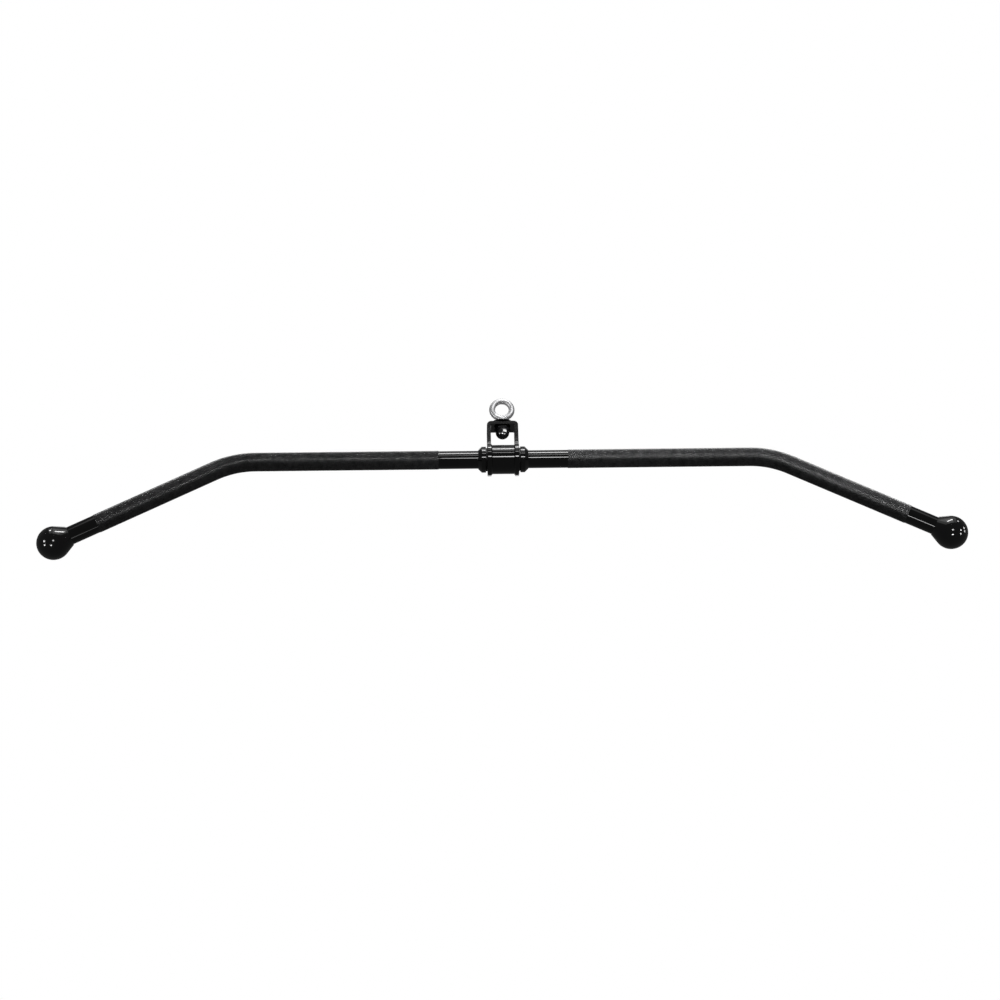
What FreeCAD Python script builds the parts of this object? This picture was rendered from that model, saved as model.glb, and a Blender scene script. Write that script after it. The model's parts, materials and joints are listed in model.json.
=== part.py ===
import FreeCAD, Part
import math
import os
import Sketcher

# Lat pulldown bar with bent grips, ball ends and a revolving hanger.
# The origin is the centre of the hole in the eye bolt, which the cable's snap hook goes through.
# X runs along the bar, Z is up and the bar hangs below the eye with both arms bent down.

# Driving sizes in millimetres and degrees: name, value, meaning.
SIZES = [
    ("bar_diameter", 24, "smooth steel bar"),
    ("grip_step", 0.6, "height of the knurled grips over the smooth bar, each side"),
    ("grip_bevel_share", 0.8, "bevel at the ends of the grips, as a share of their height"),
    ("straight_half", 360, "middle of the bar to the corner point of each bend"),
    ("bend_angle", 27.3, "fall of each arm below the straight"),
    ("bend_radius", 118, "centreline radius of each bend"),
    ("arm_length", 256, "corner point of the bend to the centre of the ball"),
    ("smooth_middle", 86.7, "middle of the bar to the start of each grip"),
    ("smooth_end", 59.2, "end of each grip to the centre of the ball"),
    ("bar_end_bevel", 1.5, "bevel at both ends of the bar"),
    ("ball_radius", 22, "ball ends"),
    ("ball_mouth_wall", 1, "wall of the ball's neck at its mouth"),
    ("ball_neck", 4.7, "how far the neck stands proud of the ball"),
    ("socket_past_centre", 8, "how far the bar goes past the ball's centre"),
    ("fit_clearance", 0.02, "radial clearance of the pressed and glued fits"),
    ("running_clearance", 0.05, "radial clearance of the plain bearings"),
    ("bush_wall", 1.95, "wall of the sleeve bushes"),
    ("bush_length", 15, "length of a sleeve bush inside the sleeve"),
    ("bush_flange", 1.8, "thickness of a sleeve bush's flange"),
    ("bush_flange_step", 1.5, "how far the flange stands out from the bush's body"),
    ("sleeve_wall", 5.5, "wall of the pivot sleeve"),
    ("sleeve_bevel", 0.5, "bevel at both mouths of the pivot sleeve"),
    ("collar_wall", 5.4, "wall of the stop collars"),
    ("collar_width", 5.7, "width of a stop collar's cylinder"),
    ("collar_cone", 4.8, "length of a stop collar's cone"),
    ("collar_lip", 0.6, "wall left at the small end of the cone"),
    ("collar_edge", 0.5, "rounding of a stop collar's rims"),
    ("end_float", 0.25, "side play between a stop collar and a bush flange"),
    ("screw_diameter", 4, "set screws of the stop collars"),
    ("screw_turn", 45, "angle of the set screws above and below straight back"),
    ("screw_seat", 0.6, "depth of the set screw's seat in the bar"),
    ("screw_recess", 0.3, "how far the set screw lies under the collar's crown"),
    ("screw_bevel", 0.4, "bevel at the tip of a set screw"),
    ("screw_socket_flats", 2, "across flats of a set screw's hexagon socket"),
    ("screw_socket_depth", 2.2, "depth of a set screw's hexagon socket"),
    ("thread_clearance", 0.05, "radial clearance of the threads"),
    ("bracket_width", 42, "outer width of the bracket along the bar"),
    ("bracket_rise", 53.5, "bar axis to the top of the bracket's strap"),
    ("strap_width", 24, "width of the strap across the bar"),
    ("strap_thickness", 5, "thickness of the strap and the legs"),
    ("strap_inside_radius", 1, "inside radius of the strap's two bends"),
    ("lug_wall", 3, "wall of the round lugs around the sleeve"),
    ("lug_blend", 4, "radius between a leg's edge and its lug"),
    ("bracket_edge", 0.8, "rounding of the bracket's outer edges"),
    ("weld_leg", 1.6, "leg of the weld beads inside the lugs"),
    ("shank_diameter", 12, "shank and thread of the eye bolt"),
    ("swivel_bush_wall", 2, "wall of the swivel bush in the strap"),
    ("swivel_flange", 1.8, "thickness of the swivel bush's flange"),
    ("swivel_flange_step", 6.9, "how far the flange stands out from the swivel bush's body"),
    ("upper_washer", 1.2, "thickness of the upper thrust washer"),
    ("upper_washer_setback", 2.9, "how far the upper washer lies inside the flange's rim"),
    ("lower_washer", 1.2, "thickness of the lower thrust washer"),
    ("lower_washer_step", 4, "how far the lower washer stands out from the shank"),
    ("washer_clearance", 0.4, "radial clearance of the washers around the shank"),
    ("washer_bevel", 0.3, "bevel at the rims of the washers and the flanges"),
    ("swivel_float", 0.25, "end play under the eye bolt's collar"),
    ("nut_flats", 19, "across flats of the dome nut"),
    ("nut_height", 3.9, "height of the dome nut's hexagon"),
    ("nut_bevel_angle", 30, "angle of the bevels on the nut's corners"),
    ("nut_turn", 30, "turn of the dome nut on the shank, which puts one of its flats in front"),
    ("dome_inset", 0.3, "how far the dome lies inside the flats"),
    ("dome_drop", 2, "how far the dome's centre lies below the hexagon"),
    ("dome_tip_wall", 2.5, "metal left at the tip of the dome"),
    ("shank_end_gap", 1, "room between the shank's end and the dome"),
    ("shank_bevel", 1.2, "bevel at the end of the shank"),
    ("eye_hole_radius", 9.5, "hole of the eye bolt"),
    ("eye_section", 8, "diameter of the eye's round section"),
    ("eye_land", 0.25, "depth of the flat land in the hole"),
    ("eye_rise", 20.45, "underside of the eye bolt's collar to the centre of its hole"),
    ("eye_collar", 3, "thickness of the eye bolt's collar"),
    ("eye_collar_step", 2.5, "how far the collar stands out from the shank"),
    ("eye_collar_edge", 0.6, "rounding of the collar's rims"),
    ("eye_neck_ledge", 1.5, "flat rim of the collar around the neck"),
    ("eye_neck_share", 0.88, "top of the neck, as a share of the eye's section"),
    ("overrun", 2, "how far every cut runs past the metal"),
]

# Which way each side and level lies.
SIGN = {"right": 1, "left": -1, "upper": 1, "lower": -1}

# Radii from the bar outwards through the revolving joint.
BAR_RADIUS = "(Sizes.bar_diameter / 2)"
GRIP_RADIUS = f"({BAR_RADIUS} + Sizes.grip_step)"
BUSH_BORE = f"({BAR_RADIUS} + Sizes.running_clearance)"
BUSH_RADIUS = f"({BUSH_BORE} + Sizes.bush_wall)"
SLEEVE_BORE = f"({BUSH_RADIUS} + Sizes.fit_clearance)"
SLEEVE_RADIUS = f"({SLEEVE_BORE} + Sizes.sleeve_wall)"
LUG_BORE = f"({SLEEVE_RADIUS} + Sizes.fit_clearance)"
LUG_RADIUS = f"({LUG_BORE} + Sizes.lug_wall)"
FIXED_BORE = f"({BAR_RADIUS} + Sizes.fit_clearance)"
COLLAR_RADIUS = f"({BAR_RADIUS} + Sizes.collar_wall)"
SCREW_HOLE = "(Sizes.screw_diameter / 2 + Sizes.thread_clearance)"
SCREW_TIP = f"({BAR_RADIUS} - Sizes.screw_seat)"
BALL_MOUTH_RADIUS = f"({FIXED_BORE} + Sizes.ball_mouth_wall)"
BALL_MOUTH = f"(sqrt(Sizes.ball_radius ^ 2 - {BALL_MOUTH_RADIUS} ^ 2) + Sizes.ball_neck)"

# Radii from the eye bolt's shank outwards through the swivel.
SHANK_RADIUS = "(Sizes.shank_diameter / 2)"
SWIVEL_BORE = f"({SHANK_RADIUS} + Sizes.running_clearance)"
SWIVEL_BUSH_RADIUS = f"({SWIVEL_BORE} + Sizes.swivel_bush_wall)"
STRAP_HOLE = f"({SWIVEL_BUSH_RADIUS} + Sizes.fit_clearance)"
SWIVEL_FLANGE_RADIUS = f"({SWIVEL_BUSH_RADIUS} + Sizes.swivel_flange_step)"
UPPER_WASHER_RADIUS = f"({SWIVEL_FLANGE_RADIUS} - Sizes.upper_washer_setback)"
LOWER_WASHER_RADIUS = f"({SHANK_RADIUS} + Sizes.lower_washer_step)"
WASHER_BORE = f"({SHANK_RADIUS} + Sizes.washer_clearance)"
THREAD_BORE = f"({SHANK_RADIUS} + Sizes.thread_clearance)"
DOME_RADIUS = "(Sizes.nut_flats / 2 - Sizes.dome_inset)"

# Heights: the eye's centre is zero, and the bar's axis lies this far below it.
SWIVEL_STACK = "(Sizes.swivel_flange + Sizes.upper_washer + Sizes.swivel_float)"
BAR_DROP = f"(Sizes.bracket_rise + {SWIVEL_STACK} + Sizes.eye_rise)"
BAR_HEIGHT = f"-{BAR_DROP}"
STRAP_TOP = f"(Sizes.bracket_rise - {BAR_DROP})"
STRAP_UNDERSIDE = f"({STRAP_TOP} - Sizes.strap_thickness)"
NUT_SEAT = f"({STRAP_UNDERSIDE} - Sizes.lower_washer)"
DOME_DEPTH = "(Sizes.nut_height + Sizes.dome_drop)"
NUT_HOLE_DEPTH = f"({DOME_DEPTH} + {DOME_RADIUS} - Sizes.dome_tip_wall)"
SHANK_END = f"({NUT_SEAT} - {NUT_HOLE_DEPTH} + Sizes.shank_end_gap)"

# Places along the bar, measured from its middle.
SLEEVE_END = "(Sizes.bracket_width / 2)"
LEG_INSIDE = f"({SLEEVE_END} - Sizes.strap_thickness)"
COLLAR_FACE = f"({SLEEVE_END} + Sizes.bush_flange + Sizes.end_float)"
COLLAR_LENGTH = "(Sizes.collar_width + Sizes.collar_cone)"
SCREW_PLACE = f"({COLLAR_FACE} + Sizes.collar_width / 2)"
BEND_TANGENT = "(Sizes.bend_radius * tan(Sizes.bend_angle / 2))"
BEND_START = f"(Sizes.straight_half - {BEND_TANGENT})"
EYE_RING_RADIUS = "(Sizes.eye_hole_radius + Sizes.eye_section / 2 - Sizes.eye_land)"

BACK = FreeCAD.Vector(0, 1, 0)
RIGHTWARDS = FreeCAD.Vector(1, 0, 0)
UPWARDS = FreeCAD.Vector(0, 0, 1)

# Two measures closer than this are taken to be the same.
TOLERANCE = 1e-6


def size_sheet(doc):
    """Fill the sheet of driving sizes, one named cell for each."""
    sheet = doc.addObject("Spreadsheet::Sheet", "Sizes")
    for row, (name, value, meaning) in enumerate(SIZES, 1):
        sheet.set(f"A{row}", name)
        sheet.set(f"B{row}", str(value))
        sheet.set(f"C{row}", meaning)
        sheet.setAlias(f"B{row}", name)
    doc.recompute()


def new_body(doc, label, height="0", along="0", turn="0", axis=BACK):
    """Start a piece whose own origin is moved along the bar and up, and turned about an axis."""
    body = doc.addObject("PartDesign::Body", label)
    body.Label = label
    angle = float(body.evalExpression(turn))
    body.Placement = FreeCAD.Placement(FreeCAD.Vector(), FreeCAD.Rotation(axis, angle))
    body.setExpression("Placement.Base.x", along)
    body.setExpression("Placement.Base.z", height)
    if turn != "0":
        body.setExpression("Placement.Rotation.Angle", turn)
    return body


def origin_plane(body, role):
    """Find one of the body's own three planes."""
    return next(part for part in body.Origin.OriginFeatures if part.Role == role)


def origin_axis(body, role):
    """Name one of the body's own three axes for a turned feature."""
    return (origin_plane(body, role), [""])


def new_sketch(body, name, role, lift="0"):
    """Start a sketch on one of the body's own planes, or lifted off it."""
    sketch = body.newObject("Sketcher::SketchObject", name)
    sketch.AttachmentSupport = (origin_plane(body, role), "")
    sketch.MapMode = "FlatFace"
    if lift != "0":
        sketch.setExpression("AttachmentOffset.Base.z", lift)
    return sketch


def bind(sketch, kind, formula, *ends):
    """Add one dimension to a sketch and bind it to the sheet."""
    index = sketch.addConstraint(Sketcher.Constraint(kind, *ends, float(sketch.evalExpression(formula))))
    sketch.setExpression(f"Constraints[{index}]", formula)


def point_at(sketch, formulas):
    """Work out where a point of the sketch lies now."""
    across, up = (float(sketch.evalExpression(formula)) for formula in formulas)
    return FreeCAD.Vector(across, up, 0)


def hold_point(sketch, edge, end, formulas):
    """Dimension one end of an edge from the sketch's origin."""
    bind(sketch, "DistanceX", formulas[0], -1, 1, edge, end)
    bind(sketch, "DistanceY", formulas[1], -1, 1, edge, end)


def add_circle(sketch, radius, centre=("0", "0")):
    """Draw a circle of a bound radius around a bound centre."""
    value = float(sketch.evalExpression(radius))
    edge = sketch.addGeometry(Part.Circle(point_at(sketch, centre), UPWARDS, value), False)
    bind(sketch, "Radius", radius, edge)
    hold_point(sketch, edge, 3, centre)


def add_outline(sketch, corners):
    """Draw a closed outline of straight edges through bound corners."""
    points = [point_at(sketch, corner) for corner in corners]
    first = sketch.GeometryCount
    for here, there in zip(points, points[1:] + points[:1]):
        sketch.addGeometry(Part.LineSegment(here, there), False)
    for index, corner in enumerate(corners):
        following = (index + 1) % len(corners)
        sketch.addConstraint(Sketcher.Constraint("Coincident", first + index, 2, first + following, 1))
        hold_point(sketch, first + index, 1, corner)


def hexagon(flats):
    """Give the corners of a hexagon with two flats across the first axis."""
    half, side, point = f"{flats} / 2", f"{flats} / (2 * sqrt(3))", f"{flats} / sqrt(3)"
    return [(half, f"-{side}"), (half, side), ("0", point), (f"-{half}", side), (f"-{half}", f"-{side}"),
            ("0", f"-{point}")]


def box_corners(left, right, low, high):
    """Give the four corners of a rectangle."""
    return [(left, low), (right, low), (right, high), (left, high)]


def feature_of(body, kind, name, profile):
    """Add one feature made from a sketch, after bringing the sketch up to date."""
    body.Document.recompute()
    feature = body.newObject(f"PartDesign::{kind}", name)
    feature.Profile = profile
    return feature


def add_pad(body, name, profile, length, symmetric=False):
    """Raise a sketch into metal."""
    pad = feature_of(body, "Pad", name, profile)
    pad.setExpression("Length", length)
    pad.SideType = "Symmetric" if symmetric else "One side"
    body.Document.recompute()


def cut_pocket(body, name, profile, length, symmetric=False, backwards=False):
    """Cut a sketch out of the metal and make sure that it took some away."""
    volume = body.Shape.Volume
    pocket = feature_of(body, "Pocket", name, profile)
    pocket.setExpression("Length", length)
    pocket.SideType = "Symmetric" if symmetric else "One side"
    pocket.Reversed = backwards
    body.Document.recompute()
    check_cut(body, name, volume)


def add_turned(body, name, profile, axis):
    """Turn a sketch about one of the body's axes."""
    turned = feature_of(body, "Revolution", name, profile)
    turned.ReferenceAxis = origin_axis(body, axis)
    body.Document.recompute()


def cut_groove(body, name, profile, axis):
    """Turn a sketch about one of the body's axes and cut it away."""
    volume = body.Shape.Volume
    groove = feature_of(body, "Groove", name, profile)
    groove.ReferenceAxis = origin_axis(body, axis)
    body.Document.recompute()
    check_cut(body, name, volume)


def check_cut(body, name, volume):
    """Stop if a cut has left the piece as heavy as it was."""
    if not body.Shape.Volume < volume:
        raise RuntimeError(f"{body.Label}: {name} cuts nothing")


def edges_where(body, wanted):
    """Name the edges of the piece so far that a test picks."""
    edges = enumerate(body.Tip.Shape.Edges, 1)
    return [f"Edge{number}" for number, edge in edges if not edge.Degenerated and wanted(edge)]


def same(one, other):
    """Tell whether two measures agree."""
    return abs(one - other) < TOLERANCE


def rims(body, radius, *centres):
    """Name the round edges of a radius, or only those around the given centres."""
    value = float(body.evalExpression(radius))
    places = [FreeCAD.Vector(*(float(body.evalExpression(part)) for part in centre)) for centre in centres]

    def wanted(edge):
        if not isinstance(edge.Curve, Part.Circle) or not same(edge.Curve.Radius, value):
            return False
        return not places or any(edge.Curve.Center.isEqual(place, TOLERANCE) for place in places)

    return edges_where(body, wanted)


def dress_edges(body, kind, name, size, edges):
    """Round or bevel the named edges by a bound size."""
    if not edges:
        raise RuntimeError(f"{body.Label}: {name} found no edges")
    base = body.Tip
    dressed = body.newObject(f"PartDesign::{kind}", name)
    dressed.Base = (base, edges)
    dressed.setExpression("Radius" if kind == "Fillet" else "Size", size)
    body.Document.recompute()


def radial_sketch(body, name, along, reach, side):
    """Start a sketch that faces outwards behind the bar, at a reach from its axis."""
    sketch = new_sketch(body, name, "XZ_Plane")
    turn = FreeCAD.Rotation(RIGHTWARDS * side, float(body.evalExpression("Sizes.screw_turn")))
    sketch.AttachmentOffset = FreeCAD.Placement(FreeCAD.Vector(), turn)
    sketch.setExpression("AttachmentOffset.Base.x", along)
    sketch.setExpression("AttachmentOffset.Base.y", f"{side} * {reach} * sin(Sizes.screw_turn)")
    sketch.setExpression("AttachmentOffset.Base.z", f"-{reach} * cos(Sizes.screw_turn)")
    sketch.setExpression("AttachmentOffset.Rotation.Angle", "Sizes.screw_turn")
    return sketch


def cut_screw_hole(body, name, along, reach, depth, side):
    """Cut a round hole outwards from a reach behind the bar's axis."""
    sketch = radial_sketch(body, f"{name}Outline", along, reach, side)
    add_circle(sketch, SCREW_HOLE)
    cut_pocket(body, name, sketch, depth)


def arm_point(distance):
    """Give a place on the arm's centreline, measured from the bend's corner point."""
    return (f"Sizes.straight_half + {distance} * cos(Sizes.bend_angle)",
            f"-{distance} * sin(Sizes.bend_angle)")


def in_3d(place):
    """Turn a place in the bar's own plane into one in space."""
    return (place[0], "0", place[1])


def route_sketch(body, name, start, end):
    """Draw the centreline of one half of the bar from a place on the straight to a place on the arm."""
    sketch = new_sketch(body, name, "XZ_Plane")
    corners = [(start, "0"), (BEND_START, "0"), arm_point(BEND_TANGENT), arm_point(end)]
    crown = (f"{BEND_START} + Sizes.bend_radius * sin(Sizes.bend_angle / 2)",
             "Sizes.bend_radius * (cos(Sizes.bend_angle / 2) - 1)")
    points = [point_at(sketch, corner) for corner in corners]
    straight = sketch.addGeometry(Part.LineSegment(points[0], points[1]), False)
    bend = sketch.addGeometry(Part.Arc(points[1], point_at(sketch, crown), points[2]), False)
    arm = sketch.addGeometry(Part.LineSegment(points[2], points[3]), False)
    bend_first, bend_last = (1, 2) if sketch.getPoint(bend, 1).isEqual(points[1], TOLERANCE) else (2, 1)
    sketch.addConstraint(Sketcher.Constraint("Coincident", straight, 2, bend, bend_first))
    sketch.addConstraint(Sketcher.Constraint("Coincident", arm, 1, bend, bend_last))
    bind(sketch, "Radius", "Sizes.bend_radius", bend)
    hold_point(sketch, straight, 1, corners[0])
    hold_point(sketch, straight, 2, corners[1])
    hold_point(sketch, arm, 1, corners[2])
    hold_point(sketch, arm, 2, corners[3])
    return sketch


def add_rod(body, name, radius, start, end):
    """Sweep a round rod along one half of the bar."""
    route = route_sketch(body, f"{name}Route", start, end)
    section = new_sketch(body, f"{name}Section", "YZ_Plane", start)
    add_circle(section, radius)
    rod = feature_of(body, "AdditivePipe", name, section)
    rod.Spine = route
    body.Document.recompute()


def bar(doc):
    """Solid bar with two bends, two raised grips and the seats of the four set screws."""
    body = new_body(doc, "bar", BAR_HEIGHT)
    core_end = "(Sizes.arm_length + Sizes.socket_past_centre)"
    add_rod(body, "Core", BAR_RADIUS, "0", core_end)
    tip = rims(body, BAR_RADIUS, in_3d(arm_point(core_end)))
    dress_edges(body, "Chamfer", "EndBevel", "Sizes.bar_end_bevel", tip)
    grip_start = ("Sizes.smooth_middle", "0")
    grip_end = "(Sizes.arm_length - Sizes.smooth_end)"
    add_rod(body, "Grip", GRIP_RADIUS, "Sizes.smooth_middle", grip_end)
    ends = rims(body, GRIP_RADIUS, in_3d(grip_start), in_3d(arm_point(grip_end)))
    dress_edges(body, "Chamfer", "GripBevel", "Sizes.grip_step * Sizes.grip_bevel_share", ends)
    for name, side in (("UpperSeat", 1), ("LowerSeat", -1)):
        cut_screw_hole(body, name, SCREW_PLACE, SCREW_TIP, "Sizes.screw_seat + Sizes.overrun", side)
    other_half = body.newObject("PartDesign::Mirrored", "OtherHalf")
    other_half.TransformMode = "Whole shape"
    other_half.MirrorPlane = origin_axis(body, "YZ_Plane")
    body.Tip = other_half


def ball_end(doc, side, turn):
    """Round ball with a blind socket for the bar and a short flared neck."""
    body = new_body(doc, f"ball_end_{side}", f"{BAR_HEIGHT} - Sizes.arm_length * sin(Sizes.bend_angle)",
                    f"{SIGN[side]} * (Sizes.straight_half + Sizes.arm_length * cos(Sizes.bend_angle))", turn)
    outline = new_sketch(body, "Outline", "XZ_Plane")
    mouth = (f"-{BALL_MOUTH}", BALL_MOUTH_RADIUS)
    tip, mouth_point = point_at(outline, ("Sizes.ball_radius", "0")), point_at(outline, mouth)
    touch = tangent_point(mouth_point, tip.x)
    crown = FreeCAD.Vector(0, tip.x, 0)
    ball = outline.addGeometry(Part.Arc(tip, crown, touch), False)
    neck = outline.addGeometry(Part.LineSegment(touch, mouth_point), False)
    corners = [mouth, (f"-{BALL_MOUTH}", FIXED_BORE), ("Sizes.socket_past_centre", FIXED_BORE),
               ("Sizes.socket_past_centre", "0"), ("Sizes.ball_radius", "0")]
    points = [point_at(outline, corner) for corner in corners]
    first = outline.GeometryCount
    for here, there in zip(points, points[1:]):
        outline.addGeometry(Part.LineSegment(here, there), False)
    last = outline.GeometryCount - 1
    for index, corner in enumerate(corners[:-1]):
        hold_point(outline, first + index, 1, corner)
    for index in range(first, last):
        outline.addConstraint(Sketcher.Constraint("Coincident", index, 2, index + 1, 1))
    outline.addConstraint(Sketcher.Constraint("Coincident", neck, 2, first, 1))
    outline.addConstraint(Sketcher.Constraint("Coincident", last, 2, ball, 1))
    outline.addConstraint(Sketcher.Constraint("Coincident", ball, 3, -1, 1))
    outline.addConstraint(Sketcher.Constraint("PointOnObject", ball, 1, -1))
    outline.addConstraint(Sketcher.Constraint("Tangent", ball, 2, neck, 1))
    bind(outline, "Radius", "Sizes.ball_radius", ball)
    add_turned(body, "Ball", outline, "X_Axis")


def tangent_point(outside, radius):
    """Find where a line from a point outside touches the upper left of a circle around the origin."""
    lean = math.atan2(outside.y, outside.x) - math.acos(radius / outside.Length)
    return FreeCAD.Vector(math.cos(lean), math.sin(lean), 0) * radius


def stop_collar(doc, side, turn):
    """Collar with a coned outer face and two tapped holes behind."""
    body = new_body(doc, f"stop_collar_{side}", BAR_HEIGHT, f"{SIGN[side]} * {COLLAR_FACE}", turn)
    outline = new_sketch(body, "Outline", "XZ_Plane")
    lip = f"({FIXED_BORE} + Sizes.collar_lip)"
    add_outline(outline, [("0", FIXED_BORE), (COLLAR_LENGTH, FIXED_BORE), (COLLAR_LENGTH, lip),
                          ("Sizes.collar_width", COLLAR_RADIUS), ("0", COLLAR_RADIUS)])
    add_turned(body, "Collar", outline, "X_Axis")
    dress_edges(body, "Fillet", "Rounding", "Sizes.collar_edge", rims(body, COLLAR_RADIUS))
    depth = "Sizes.screw_seat + Sizes.collar_wall + Sizes.overrun"
    for name, angle_side in (("UpperTapping", 1), ("LowerTapping", -1)):
        cut_screw_hole(body, name, "Sizes.collar_width / 2", SCREW_TIP, depth, angle_side)


def collar_screw(doc, side, level):
    """Hexagon socket set screw, standing outwards from its seat in the bar."""
    reach_back, reach_up = f"{SCREW_TIP} * cos(Sizes.screw_turn)", f"{SCREW_TIP} * sin(Sizes.screw_turn)"
    turn = f"90 - {SIGN[level]} * Sizes.screw_turn"
    body = new_body(doc, f"collar_screw_{side}_{level}", f"{BAR_HEIGHT} + {SIGN[level]} * {reach_up}",
                    f"{SIGN[side]} * {SCREW_PLACE}", turn, -RIGHTWARDS)
    body.setExpression("Placement.Base.y", reach_back)
    length = "(Sizes.collar_wall + Sizes.screw_seat - Sizes.screw_recess)"
    outline = new_sketch(body, "Outline", "XY_Plane")
    add_circle(outline, "Sizes.screw_diameter / 2")
    add_pad(body, "Screw", outline, length)
    dress_edges(body, "Chamfer", "TipBevel", "Sizes.screw_bevel",
                rims(body, "Sizes.screw_diameter / 2", ("0", "0", "0")))
    socket = new_sketch(body, "SocketOutline", "XY_Plane", length)
    add_outline(socket, hexagon("Sizes.screw_socket_flats"))
    cut_pocket(body, "Socket", socket, "Sizes.screw_socket_depth")


def sleeve_bush(doc, side, turn):
    """Flanged plain bush in one end of the pivot sleeve."""
    body = new_body(doc, f"sleeve_bush_{side}", BAR_HEIGHT, f"{SIGN[side]} * {SLEEVE_END}", turn)
    outline = new_sketch(body, "Outline", "XZ_Plane")
    flange = f"({BUSH_RADIUS} + Sizes.bush_flange_step)"
    add_outline(outline, [("-Sizes.bush_length", BUSH_BORE), ("Sizes.bush_flange", BUSH_BORE),
                          ("Sizes.bush_flange", flange), ("0", flange), ("0", BUSH_RADIUS),
                          ("-Sizes.bush_length", BUSH_RADIUS)])
    add_turned(body, "Bush", outline, "X_Axis")
    dress_edges(body, "Chamfer", "RimBevel", "Sizes.washer_bevel", rims(body, flange))


def pivot_sleeve(doc):
    """Plain tube that the bar turns in, with bevelled mouths."""
    body = new_body(doc, "pivot_sleeve", BAR_HEIGHT)
    outline = new_sketch(body, "Outline", "YZ_Plane")
    add_circle(outline, SLEEVE_RADIUS)
    add_circle(outline, SLEEVE_BORE)
    add_pad(body, "Tube", outline, "Sizes.bracket_width", symmetric=True)
    dress_edges(body, "Chamfer", "MouthBevel", "Sizes.sleeve_bevel", rims(body, SLEEVE_BORE))


def hanger_bracket(doc):
    """Bent strap with two legs that end in round lugs around the pivot sleeve."""
    body = new_body(doc, "hanger_bracket", BAR_HEIGHT)
    half_strap = "Sizes.strap_width / 2"
    strap_inside = "(Sizes.bracket_rise - Sizes.strap_thickness)"
    legs = new_sketch(body, "LegOutline", "YZ_Plane")
    add_outline(legs, box_corners(f"-{half_strap}", half_strap, "0", "Sizes.bracket_rise"))
    add_pad(body, "Legs", legs, "Sizes.bracket_width", symmetric=True)
    lugs = new_sketch(body, "LugOutline", "YZ_Plane")
    add_circle(lugs, LUG_RADIUS)
    add_pad(body, "Lugs", lugs, "Sizes.bracket_width", symmetric=True)
    crotch = float(body.evalExpression(f"sqrt({LUG_RADIUS} ^ 2 - ({half_strap}) ^ 2)"))
    dress_edges(body, "Fillet", "LugBlend", "Sizes.lug_blend",
                edges_where(body, lambda edge: same(edge.CenterOfMass.z, crotch)))
    window = new_sketch(body, "WindowOutline", "XZ_Plane")
    add_outline(window, box_corners(f"-{LEG_INSIDE}", LEG_INSIDE, f"-({LUG_RADIUS} + Sizes.overrun)",
                                    strap_inside))
    cut_pocket(body, "Window", window, f"2 * ({LUG_RADIUS} + Sizes.overrun)", symmetric=True)
    dress_edges(body, "Fillet", "InnerBends", "Sizes.strap_inside_radius",
                cross_edges(body, strap_inside))
    dress_edges(body, "Fillet", "OuterBends", "Sizes.strap_inside_radius + Sizes.strap_thickness",
                cross_edges(body, "Sizes.bracket_rise"))
    dress_edges(body, "Fillet", "Rounding", "Sizes.bracket_edge", outer_edges(body))
    bore = new_sketch(body, "BoreOutline", "YZ_Plane")
    add_circle(bore, LUG_BORE)
    cut_pocket(body, "Bore", bore, "Sizes.bracket_width + Sizes.overrun", symmetric=True)
    swivel_hole = new_sketch(body, "SwivelHoleOutline", "XY_Plane", "Sizes.bracket_rise")
    add_circle(swivel_hole, STRAP_HOLE)
    cut_pocket(body, "SwivelHole", swivel_hole, "Sizes.strap_thickness + Sizes.overrun")


def cross_edges(body, height):
    """Name the straight edges that cross the strap at a height."""
    level = float(body.evalExpression(height))
    return edges_where(body, lambda edge: same(edge.CenterOfMass.z, level)
                       and same(abs(edge.tangentAt(edge.FirstParameter).y), 1))


def outer_edges(body):
    """Name the edges of the bracket's outer faces, down both legs and round both lugs."""
    reach = float(body.evalExpression(SLEEVE_END))
    return edges_where(body, lambda edge: same(abs(edge.CenterOfMass.x), reach)
                       and same(edge.BoundBox.XLength, 0)
                       and not same(abs(edge.tangentAt(edge.FirstParameter).y), 1))


def weld_bead(doc, side, turn):
    """Fillet weld around the sleeve, inside one lug."""
    body = new_body(doc, f"weld_bead_{side}", BAR_HEIGHT, f"{SIGN[side]} * {LEG_INSIDE}", turn)
    outline = new_sketch(body, "Outline", "XZ_Plane")
    add_outline(outline, [("0", LUG_BORE), ("0", f"({LUG_BORE} + Sizes.weld_leg)"),
                          ("-Sizes.weld_leg", LUG_BORE)])
    add_turned(body, "Bead", outline, "X_Axis")


def swivel_bush(doc):
    """Flanged plain bush in the strap, around the eye bolt's shank."""
    body = new_body(doc, "swivel_bush", STRAP_TOP)
    outline = new_sketch(body, "Outline", "XZ_Plane")
    flange_top, foot = "Sizes.swivel_flange", "-Sizes.strap_thickness"
    add_outline(outline, [(SWIVEL_BORE, foot), (SWIVEL_BUSH_RADIUS, foot), (SWIVEL_BUSH_RADIUS, "0"),
                          (SWIVEL_FLANGE_RADIUS, "0"), (SWIVEL_FLANGE_RADIUS, flange_top),
                          (SWIVEL_BORE, flange_top)])
    add_turned(body, "Bush", outline, "Z_Axis")
    dress_edges(body, "Chamfer", "RimBevel", "Sizes.washer_bevel", rims(body, SWIVEL_FLANGE_RADIUS))


def thrust_washer(doc, label, height, radius, thickness):
    """Flat ring with bevelled rims."""
    body = new_body(doc, label, height)
    outline = new_sketch(body, "Outline", "XY_Plane")
    add_circle(outline, radius)
    add_circle(outline, WASHER_BORE)
    add_pad(body, "Washer", outline, thickness)
    dress_edges(body, "Chamfer", "RimBevel", "Sizes.washer_bevel", rims(body, radius))


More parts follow.
